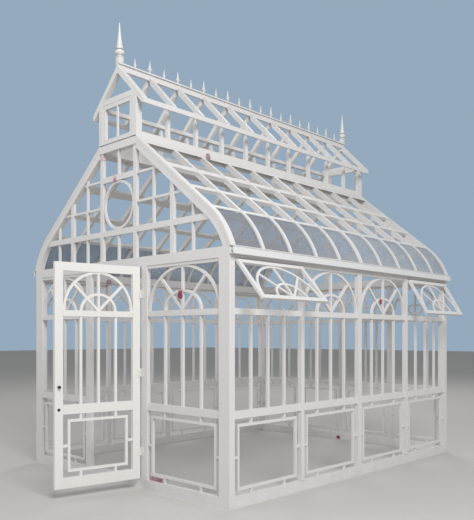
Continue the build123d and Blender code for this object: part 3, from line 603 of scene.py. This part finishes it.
ridge_top = 4.335
spear_pitch = rib_pitch / 2
plain_outline = (
    (0.008, 0.0), (0.0065, 0.014), (0.008, 0.024), (0.013, 0.036), (0.0115, 0.048), (0.005, 0.066),
)
barbed_outline = (
    (0.008, 0.0), (0.0065, 0.02), (0.0075, 0.044), (0.017, 0.042), (0.028, 0.038), (0.029, 0.043),
    (0.019, 0.054), (0.011, 0.070), (0.009, 0.088), (0.0045, 0.116),
)
for spear_name, outline, height, first in (
    ("plain_spears", plain_outline, 0.108, 1), ("barbed_spears", barbed_outline, 0.142, 2)
):
    spear = cast_spear("cast_" + spear_name, outline, height)
    bpy.context.scene.collection.objects.link(spear)
    steps = range(first, 2 * roof_bays, 2)
    places = [((0, rib_places[0] + n * spear_pitch, ridge_top), (0, 0, 1)) for n in steps]
    points = points_mesh(spear_name, places)
    sizes = {"Piece": spear, "Finish": frame_paint}
    piece = grow(spear_name, points, set_tree, sizes, "root")
    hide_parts("ridge_cresting")
    bpy.data.objects.remove(spear)


# Finials. Turned from the solid and set on square blocks at both ends of the ridge: a collar,
# a ball with a thin rim on its crown, and a long spike.
crease = radians(38)


def turned(name, profile, segments=32):
    """A turned shape: a profile of radius and height, spun round the upright axis."""
    shape = bmesh.new()
    profile_verts = [shape.verts.new((radius, 0, height)) for radius, height in profile]
    line = [shape.edges.new(pair) for pair in zip(profile_verts, profile_verts[1:])]
    bmesh.ops.spin(
        shape, geom=profile_verts + line, axis=(0, 0, 1), cent=(0, 0, 0), angle=2 * pi,
        steps=segments, use_merge=True,
    )
    bmesh.ops.remove_doubles(shape, verts=shape.verts, dist=0.00001)
    bmesh.ops.recalc_face_normals(shape, faces=shape.faces)
    mesh = bpy.data.meshes.new(name)
    shape.to_mesh(mesh)
    shape.free()
    mesh.shade_smooth()
    mesh.set_sharp_from_angle(angle=crease)
    return mesh


def joined(name, meshes):
    """One mesh of several, each with the matrix that puts it in its place."""
    whole = bmesh.new()
    for mesh, matrix in meshes:
        copy = mesh.copy()
        copy.transform(matrix)
        whole.from_mesh(copy)
        bpy.data.meshes.remove(copy)
    bmesh.ops.recalc_face_normals(whole, faces=whole.faces)
    mesh = bpy.data.meshes.new(name)
    whole.to_mesh(mesh)
    whole.free()
    return mesh


def eased_block(name, low, high, ease):
    """A block with small bevels on all its edges."""
    shape = bmesh.new()
    middle = (Vector(low) + Vector(high)) / 2
    size = Vector(high) - Vector(low)
    matrix = Matrix.Translation(middle) @ Matrix.Diagonal((*size, 1))
    bmesh.ops.create_cube(shape, size=1.0, matrix=matrix)
    bmesh.ops.bevel(
        shape, geom=shape.edges[:], offset=ease, segments=2, profile=0.5, affect="EDGES"
    )
    mesh = bpy.data.meshes.new(name)
    shape.to_mesh(mesh)
    shape.free()
    return mesh


def place_piece(name, mesh, finish, body):
    """Put a finished mesh in the scene, painted and riding on a body."""
    mesh.materials.clear()
    mesh.materials.append(finish)
    piece = bpy.data.objects.new(name, mesh)
    bpy.context.scene.collection.objects.link(piece)
    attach(piece, body)
    return piece


block_half = 0.03
block_height = 0.07
block_ease = 0.0025
cap_half = 0.034
cap_ease = 0.003
cap_levels = (block_height - 0.014, block_height - 0.003)
ball_height = 0.076
ball_radius = 0.047
ball_steps = 16
spike_radius = 0.035
spike_tip = 0.003
spike_waist = 0.10
spike_height = 0.28
spike_steps = 8
profile = [(0.0, -0.002), (0.026, -0.002), (0.028, 0.003), (0.022, 0.008)]
for step in range(2, ball_steps - 1):
    angle = pi * step / ball_steps
    profile.append((ball_radius * sin(angle), ball_height / 2 * (1 - cos(angle)) + 0.002))
spike_foot = ball_height + 0.002
profile += [(0.036, spike_foot - 0.003), (0.039, spike_foot), (0.036, spike_foot + 0.004)]
for step in range(spike_steps + 1):
    share = step / spike_steps
    radius = spike_radius * (1 - share) + spike_tip * share
    radius = radius * (1 - spike_waist * sin(pi * share)) - 0.002 * (1 - share)
    profile.append((radius, spike_foot + 0.006 + (spike_height - 0.010) * share))
profile.append((0.0, ball_height + spike_height))
spindle = turned("finial_spindle", profile)
block_top = (block_half, block_half, block_height)
block = eased_block("finial_block", (-block_half, -block_half, 0), block_top, block_ease)
cap_low, cap_high = (-cap_half, -cap_half, cap_levels[0]), (cap_half, cap_half, cap_levels[1])
cap = eased_block("finial_cap", cap_low, cap_high, cap_ease)
parts = []
for y in (rib_places[0], rib_places[-1]):
    foot = Matrix.Translation((0, y, ridge_top))
    above = foot @ Matrix.Translation((0, 0, block_height))
    parts += [(block, foot), (cap, foot), (spindle, above)]
finial_mesh = joined("turned_finials", parts)
finials = place_piece("turned_finials", finial_mesh, frame_paint, "root")
finials.data.set_sharp_from_angle(angle=crease)
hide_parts("ridge_finials")

# Gutters. Open channels of folded aluminium hang on the outside of the eaves beams, in a
# slightly cooler white. Their outer edge is rolled, and straps under them carry them.
gutter_paint = painted_steel("gutter_paint", (0.715, 0.72, 0.715, 1.0), dust_share=0.4)
dress(gutter_paint, "gutters")
gutter_out = 1.67
gutter_bottom = 2.225
lip_radius = 0.0055
lip_height = beam_top - 0.004
lip_ends = (front_y + lip_radius, rear_y - lip_radius)
lip_runs = [[(side * gutter_out, y, lip_height) for y in lip_ends] for side in (-1, 1)]
lip_lines = lines_mesh("lip_runs", lip_runs, closed=False)
lip_sizes = {"Bead Radius": lip_radius, "Step": 0.25, "Unevenness": 0.0, "Finish": gutter_paint}
grow("gutter_lips", lip_lines, bead_tree, lip_sizes, "root")

strap_half = 0.0125
strap_thickness = 0.0025
strap_ease = 0.0008
strap_top = beam_top - 0.009
strap_out = gutter_out + strap_thickness
strap_places = [rib_places[n] + rib_pitch / 2 for n in (1, 3, 5, 7)]
strap_places = [rib_places[0] + rib_pitch / 4, *strap_places, rib_places[-1] - rib_pitch / 4]
straps = []
for side in (-1, 1):
    mirror = Matrix.Diagonal((side, 1, 1, 1))
    for y in strap_places:
        low = (half_width, y - strap_half, gutter_bottom - strap_thickness)
        high = (strap_out, y + strap_half, gutter_bottom)
        under = eased_block("strap", low, high, strap_ease)
        low = (gutter_out, y - strap_half, gutter_bottom - strap_thickness)
        outside = eased_block("strap", low, (strap_out, y + strap_half, strap_top), strap_ease)
        straps += [(under, mirror), (outside, mirror)]
strap_mesh = joined("gutter_straps", straps)
place_piece("gutter_straps", strap_mesh, gutter_paint, "root")

# Frames of the lantern's ends. Each end opening stands back by the thickness of the plates on
# the outer half of its posts and head. A dark strip along the base is painted shade, standing in
# for the shadowed gap between the frame and the base.
plate_sunk = 0.001


def wall_plate(wall, low, high, proud, ease):
    """A flat plate on a wall, from one corner across and up to another."""
    first = Vector(wall(low[0], low[1], -proud))
    second = Vector(wall(high[0], high[1], plate_sunk))
    low_corner = [min(pair) for pair in zip(first, second)]
    high_corner = [max(pair) for pair in zip(first, second)]
    return eased_block("plate", low_corner, high_corner, ease)


frame_line = 0.252
frame_out = lantern_half - 0.002
joint_level = 3.523
joint_half = 0.31
gap_shade_levels = (joint_level - 0.004, joint_level + 0.003)
post_plate_levels = (joint_level + 0.004, 3.915)
head_half = 0.243
head_levels = (3.937, 3.993)
plate_proud, plate_ease = 0.003, 0.001
gap_shade_proud, gap_shade_ease = 0.0015, 0.0004
end_plates = []
gap_shade_strips = []
for wall in (on_front, on_rear):
    for side in (-1, 1):
        inner, outer = sorted((side * frame_line, side * frame_out))
        low, high = zip((inner, outer), post_plate_levels)
        end_plates.append(wall_plate(wall, low, high, plate_proud, plate_ease))
    low, high = zip((-head_half, head_half), head_levels)
    end_plates.append(wall_plate(wall, low, high, plate_proud, plate_ease))
    low, high = zip((-joint_half, joint_half), gap_shade_levels)
    gap_shade_strips.append(wall_plate(wall, low, high, gap_shade_proud, gap_shade_ease))
identity = Matrix.Identity(4)
end_mesh = joined("lantern_end_plates", [(plate, identity) for plate in end_plates])
place_piece("lantern_end_plates", end_mesh, frame_paint, "root")
# Painted shade: a near-black strip where the gap under each end frame lies in shadow.
gap_shade_finish, gap_shade_shader, gap_shade_wire = new_finish("gap_shade_finish")
gap_shade_grain = gap_shade_wire.node("ShaderNodeTexCoord", output="Object").noise(90.0, 3.0)
gap_shade_tint = gap_shade_wire.node("ShaderNodeRGB")
gap_shade_tint.socket.default_value = (0.05, 0.05, 0.055, 1.0)
gap_shade_colour = gap_shade_tint.mixed(gap_shade_grain * 0.4, (0.16, 0.15, 0.14, 1.0))
gap_shade_finish.node_tree.links.new(gap_shade_colour.socket, gap_shade_shader.inputs["Base Color"])
gap_shade_shader.inputs["Roughness"].default_value = 0.7
gap_shade_mesh = joined("lantern_end_seals", [(strip, identity) for strip in gap_shade_strips])
place_piece("lantern_end_seals", gap_shade_mesh, gap_shade_finish, "root")

# Edge strips of the gables. A flat strip covers the joint between the outer rafters and the
# roof, down the slope and round the bend. It is steel, 3 mm thick, painted with the frame.
strip_width = 0.03
strip_proud = 0.003
strip_sunk = 0.0005
strip_end_gap = 0.008
stations = []
slope_length = (bend_top[0] - lantern_half) / cos(pitch)
for reach in (slope_length - strip_end_gap, slope_length / 2, 0.0):
    stations.append((slope_place(reach, strip_sunk), slope_place(reach, strip_width)))
for step in range(1, arc_steps + 1):
    angle = pitch + (pane_foot - pitch) * step / arc_steps
    pair = []
    for depth in (strip_sunk, strip_width):
        radius = bend_radius - depth
        pair.append((bend_centre[0] + radius * sin(angle), bend_centre[1] + radius * cos(angle)))
    stations.append(tuple(pair))
strips = bmesh.new()
for wall in (on_front, on_rear):
    for side in (-1, 1):
        rings = []
        for (outer_x, outer_z), (inner_x, inner_z) in stations:
            corners = ((outer_x, outer_z, -strip_proud), (inner_x, inner_z, -strip_proud))
            corners += ((inner_x, inner_z, plate_sunk), (outer_x, outer_z, plate_sunk))
            rings.append([strips.verts.new(wall(side * x, z, d)) for x, z, d in corners])
        for ring, after in zip(rings, rings[1:]):
            for n in range(4):
                m = (n + 1) % 4
                strips.faces.new((ring[n], ring[m], after[m], after[n]))
        strips.faces.new(rings[0])
        strips.faces.new(rings[-1][::-1])
bmesh.ops.recalc_face_normals(strips, faces=strips.faces)
strip_mesh = bpy.data.meshes.new("gable_edge_strips")
strips.to_mesh(strip_mesh)
strips.free()
place_piece("gable_edge_strips", strip_mesh, frame_paint, "root")

# Rivets of the lantern's skirt. The sloping skirts over the tops of the ribs are held along
# both edges by steel rivets with domed heads, painted over with the frame.
rivet_profile = [
    (0.0, 0.0022), (0.0012, 0.0022), (0.0014, 0.0014), (0.0022, 0.0021), (0.0038, 0.0012),
    (0.0044, 0.0),
]
rivet = bpy.data.objects.new("rivet", turned("rivet", rivet_profile, 12))
bpy.context.scene.collection.objects.link(rivet)
skirt_top = (lantern_half, 3.5173)
skirt_reaches = (0.02, 0.115)
rivet_pitch = rib_pitch / 2
rivets = []
for side in (-1, 1):
    for n in range(2 * roof_bays + 1):
        y = rib_places[0] + n * rivet_pitch
        for reach in skirt_reaches:
            x = skirt_top[0] + reach * cos(pitch)
            z = skirt_top[1] - reach * sin(pitch)
            rivets.append(((side * x, y, z), (side * sin(pitch), 0, cos(pitch))))
sizes = {"Piece": rivet, "Finish": frame_paint}
rivet_points = points_mesh("skirt_rivets", rivets)
grow("skirt_rivets", rivet_points, set_tree, sizes, "root")

# Vent hinges. Each vent hangs on two barrels, and the small steel plate over each barrel is
# fixed to the head rail by two domed screws, painted over with the frame.
vent_side_gap = 0.01
barrel_share = 0.3
plate_screw_reach = 0.02
plate_middle = 2.187
plate_face = 0.005
vent_screws = []
for wall in (on_right, on_left):
    for left, right in [side_bays[n] for n in vent_bays]:
        for share in (-barrel_share, barrel_share):
            barrel = (left + right) / 2 + (right - left - vent_side_gap) * share
            for shift in (-plate_screw_reach, plate_screw_reach):
                out = Vector(wall(0, 0, -1)) - Vector(wall(0, 0, 0))
                vent_screws.append((wall(barrel + shift, plate_middle, plate_face), out))
vent_points = points_mesh("vent_screws", vent_screws)
grow("vent_hinge_screws", vent_points, set_tree, sizes, "root")

# Door. The leaf is framed and welded like the walls, in the warmer white of a later coat. It
# turns on three hinges, whose plates are screwed to the post and to the leaf's outer face.
door_paint = painted_steel("door_paint", (0.76, 0.745, 0.715, 1.0))
dress(door_paint, "door_leaf", "door_hinge_plates", "door_hinge_knuckles")
hinge_line = Vector((0.4, -0.043, 0))
swing = radians(80)
leaf_run = Vector((-cos(swing), -sin(swing), 0))
leaf_in = Vector((-sin(swing), cos(swing), 0))
leaf_face = 0.008
leaf_thickness = 0.038


def on_door(along, height, depth):
    """A point of the leaf: distance from the hinge line, height, and depth from its face."""
    foot = hinge_line + leaf_run * along + leaf_in * (leaf_face + depth)
    return tuple(foot + Vector((0, 0, height)))


stile_inner = 0.0825
stile_free = 0.7975
door_rail_top = 0.198
door_mid = (0.785, 0.873)
door_transom = (1.694, 1.749)
door_bar_face = 0.0065
door_bar_back = door_bar_face + bar_back - bar_face


def on_door_bars(along, height, depth):
    """The same point, with depths counted as those of the bars of the walls are."""
    return on_door(along, height, depth - bar_face + door_bar_face)


door_seams = inset_seams(on_door_bars, stile_inner, stile_free, door_rail_top, door_mid[0])
for n in (1, 2, 3):
    along = stile_inner + (stile_free - stile_inner) * n / 4
    for height in (door_mid[1], door_transom[0]):
        door_seams.append(upright_end(on_door, along, height, bar, door_bar_face, door_bar_back))
for low, high in (door_mid, door_transom):
    for along in (stile_inner, stile_free):
        door_seams.append(level_end(on_door, along, low, high, 0.0, leaf_thickness))
door_weld_sizes = dict(weld_sizes, Finish=door_paint)
door_lines = lines_mesh("door_seams", door_seams)
grow("door_weld_seams", door_lines, bead_tree, door_weld_sizes, "door")

hinge_feet = (0.33, 1.1075, 1.885)
screw_rows = (0.015, 0.04, 0.065)
hinge_plate = 0.003
screw_line = 0.024
post_screws, leaf_screws = [], []
for foot in hinge_feet:
    for row in screw_rows:
        place = (hinge_line.x + screw_line, front_y - hinge_plate, foot + row)
        post_screws.append((place, (0, -1, 0)))
        leaf_screws.append((on_door(screw_line, foot + row, -hinge_plate), -leaf_in))
sizes = {"Piece": rivet, "Finish": door_paint}
for screw_name, body, screws in (
    ("post_hinge_screws", "root", post_screws), ("leaf_hinge_screws", "door", leaf_screws)
):
    grow(screw_name, points_mesh(screw_name, screws), set_tree, sizes, body)
bpy.data.objects.remove(rivet)

# Knob and lock. Black enamel on both faces of the free stile: a turned knob on a stepped rose,
# and below it a lock cylinder in a round plate. Hands have worn both smoother in patches.
handle_finish, handle_shader, handle_wire = new_finish("handle_black")
handle_place = handle_wire.node("ShaderNodeTexCoord", output="Object")
handle_tint = handle_wire.node("ShaderNodeRGB")
handle_tint.socket.default_value = (0.012, 0.012, 0.013, 1.0)
rubbed = handle_place.noise(55.0, 4.0).step(0.55, 0.75)
handle_colour = handle_tint.mixed(rubbed * 0.5, (0.10, 0.085, 0.07, 1.0))
handle_links = handle_finish.node_tree.links
handle_links.new(handle_colour.socket, handle_shader.inputs["Base Color"])
handle_links.new((0.42 - rubbed * 0.16).socket, handle_shader.inputs["Roughness"])
knob_profile = [
    (0.0, 0.0), (0.014, 0.0), (0.014, 0.0015), (0.0125, 0.003), (0.009, 0.004), (0.0065, 0.0055),
    (0.0055, 0.008), (0.0055, 0.012), (0.0075, 0.0145), (0.011, 0.0175), (0.0125, 0.022),
    (0.0122, 0.027), (0.0100, 0.031), (0.006, 0.0335), (0.0, 0.0345),
]
lock_profile = [
    (0.0, 0.0), (0.014, 0.0), (0.014, 0.0015), (0.0128, 0.0028), (0.0095, 0.0036),
    (0.009, 0.0046), (0.006, 0.005), (0.0055, 0.0042), (0.0, 0.0042),
]
knob_mesh = turned("knob", knob_profile)
lock_mesh = turned("lock", lock_profile)
keyhole_width, keyhole_height, keyhole_ease = 0.0016, 0.007, 0.0003
keyhole_low = (-keyhole_width / 2, -keyhole_height / 2, 0.0038)
keyhole_high = (keyhole_width / 2, keyhole_height / 2, 0.0049)
keyhole = eased_block("keyhole", keyhole_low, keyhole_high, keyhole_ease)
free_stile = 0.8375
knob_height = 1.04
lock_height = 0.83
handle_parts = []
for depth, outward in ((0.0, -leaf_in), (leaf_thickness, leaf_in)):
    turn = outward.to_track_quat("Z", "Y").to_matrix().to_4x4()
    for height, meshes in ((knob_height, (knob_mesh,)), (lock_height, (lock_mesh, keyhole))):
        spot = Matrix.Translation(on_door(free_stile, height, depth)) @ turn
        handle_parts += [(mesh, spot) for mesh in meshes]
handle_mesh = joined("door_knobs", handle_parts)
handle_mesh.set_sharp_from_angle(angle=crease)
knobs = place_piece("door_knobs", handle_mesh, handle_finish, "door")
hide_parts("door_handle")

# Packing strip. A flat strip of steel packs the gap between the front sill and the lower frame
# beside the door. It is still in its pink primer, darker in patches and toward its right end.
primer, primer_shader, primer_wire = new_finish("primer_pink")
primer_place = primer_wire.node("ShaderNodeTexCoord", output="Object")
primer_tint = primer_wire.node("ShaderNodeRGB")
primer_tint.socket.default_value = (0.44, 0.28, 0.31, 1.0)
darker_share = primer_place.noise(34.0, 4.0).step(0.40, 0.62) * 0.6
darker_share = (darker_share + primer_place.part(0).step(0.60, 0.68) * 0.4).kept()
primer_colour = primer_tint.mixed(darker_share, (0.26, 0.12, 0.15, 1.0))
primer.node_tree.links.new(primer_colour.socket, primer_shader.inputs["Base Color"])
primer_shader.inputs["Roughness"].default_value = 0.75
packing_low, packing_high = (0.52, -0.018, 0.0945), (0.70, -0.010, 0.132)
packing_ease = 0.0008
packing = eased_block("packing_strip", packing_low, packing_high, packing_ease)
place_piece("packing_strip", packing, primer, "root")

# Marker tape. Short lengths of red tape were knotted round a few bars and laid on others while
# the frame was put together. They are thin crumpled plastic, faded to pink higher up.
tape_finish, tape_shader, tape_wire = new_finish("marker_tape")
tape_place = tape_wire.node("ShaderNodeTexCoord", output="Object")
tape_tint = tape_wire.node("ShaderNodeRGB")
tape_tint.socket.default_value = (0.50, 0.11, 0.16, 1.0)
faded = tape_place.noise(34.0, 4.0).step(0.42, 0.68) * 0.3
faded = (faded + tape_place.part(2).step(1.98, 2.2) * 0.92).kept()
tape_colour = tape_tint.mixed(faded, (0.68, 0.51, 0.54, 1.0))
tape_finish.node_tree.links.new(tape_colour.socket, tape_shader.inputs["Base Color"])
tape_finish.node_tree.links.new((0.38 + faded * 0.2).socket, tape_shader.inputs["Roughness"])


def crumpled(reach, width, bend):
    """A strip of tape that runs down from its knot, with folds along and across it."""
    rows_down = 12
    stand_off, fold_depth, film = 0.005, 0.0022, 0.0004
    ribbon = bmesh.new()
    rows = []
    for step in range(rows_down + 1):
        share = step / rows_down
        half = width * (0.3 + 0.2 * sin(pi * share))
        row = []
        for side in (-1, -0.5, 0, 0.5, 1):
            fold = sin(9 * share + 2.2 * side + bend) + 0.6 * sin(17 * share - 3 * side)
            along = side * half + 0.12 * width * sin(5 * share + bend)
            drop = reach * (share + 0.05 * share * sin(4 * side + bend))
            row.append(ribbon.verts.new((along, -stand_off - fold_depth * fold, -drop)))
        rows.append(row)
    for above, below in zip(rows, rows[1:]):
        for n in range(4):
            ribbon.faces.new((above[n], above[n + 1], below[n + 1], below[n]))
    bmesh.ops.solidify(ribbon, geom=ribbon.faces[:], thickness=film)
    bmesh.ops.recalc_face_normals(ribbon, faces=ribbon.faces)
    mesh = bpy.data.meshes.new("strip")
    ribbon.to_mesh(mesh)
    ribbon.free()
    return mesh


def tape_knot(turn, length, half, face, back):
    """Two turns of tape round a bar that leans by an angle, the second over the first."""
    wind_half = length * 0.36
    first_layer, next_layer, ease = 0.0016, 0.0006, 0.0008
    winds = []
    for n, (shift, tilt) in enumerate(((-0.12, 0.12), (0.15, -0.1))):
        grown = first_layer + next_layer * n
        low = (-wind_half, face - grown, -half - grown)
        high = (wind_half, back + grown, half + grown)
        spot = Matrix.Rotation(turn + tilt, 4, "Y") @ Matrix.Translation((length * shift, 0, 0))
        winds.append((eased_block("wind", low, high, ease), spot))
    return winds


def tape_tails(face, tails):
    """Strips that hang from a knot, each by its angle from straight down, reach and width."""
    overlap, bend_step = 0.001, 1.7
    parts = []
    for n, (angle, reach, width) in enumerate(tails):
        spot = Matrix.Translation((0, face - overlap * n, 0)) @ Matrix.Rotation(angle, 4, "Y")
        parts.append((crumpled(reach, width, bend_step * n), spot))
    return parts


def laid(foot, axes, parts):
    """These parts, moved to a foot point, with their three axes turned to the given ones."""
    matrix = Matrix(axes).transposed().to_4x4()
    matrix.translation = foot
    return [(mesh, matrix @ spot) for mesh, spot in parts]


seen_from_front = ((1, 0, 0), (0, 1, 0), (0, 0, 1))
seen_from_right = ((0, 1, 0), (-1, 0, 0), (0, 0, 1))
bar_half = bar / 2
gable_rail_half = 0.03
arch_tails = ((0.0, 0.068, 0.045), (0.38, 0.06, 0.035), (-0.34, 0.066, 0.035), (0.15, 0.05, 0.04))
arch_tape = tape_knot(-0.07, 0.055, bar_half, bar_face, bar_back)
arch_tape += tape_tails(bar_face, arch_tails)
side_tails = ((0.0, 0.05, 0.03), (0.5, 0.045, 0.025), (-0.45, 0.05, 0.02))
side_tape = tape_knot(-0.25, 0.045, bar_half, bar_face, bar_back)
side_tape += tape_tails(bar_face, side_tails)
mullion_tape = tape_knot(pi / 2, 0.06, gable_bar / 2, rail_face, rail_back)
rail_tape = tape_knot(0.0, 0.065, gable_rail_half, rail_face, rail_back)
rail_tape += tape_tails(rail_face / 2, ((0.1, 0.05, 0.03),))
skirt_tape = tape_tails(0.0, ((0.0, 0.063, 0.045), (0.45, 0.055, 0.04), (-0.4, 0.06, 0.035)))
beam_tape = tape_tails(0.0, ((0.0, 0.06, 0.07), (0.4, 0.055, 0.05), (-0.4, 0.055, 0.05)))
sill_tape = tape_tails(0.0, ((0.75, 0.04, 0.03), (-0.75, 0.04, 0.03), (0.0, 0.04, 0.05)))
tapes = []
for foot, axes, parts in (
    (on_front(0.966, 1.924, 0), seen_from_front, arch_tape),
    (on_right(0.436, 1.917, 0), seen_from_right, side_tape),
    (on_front(-gable_pitch, 3.40, 0), seen_from_front, mullion_tape),
    (on_front(-0.05, 3.152, 0), seen_from_front, rail_tape),
    ((0.425, 0.855, 3.49), seen_from_right, skirt_tape),
    ((-1.55, 0.965, 2.242), seen_from_right, beam_tape),
    ((-0.04, 3.955, 0.046), seen_from_front, sill_tape),
):
    tapes += laid(foot, axes, parts)
place_piece("marker_tapes", joined("marker_tapes", tapes), tape_finish, "root")
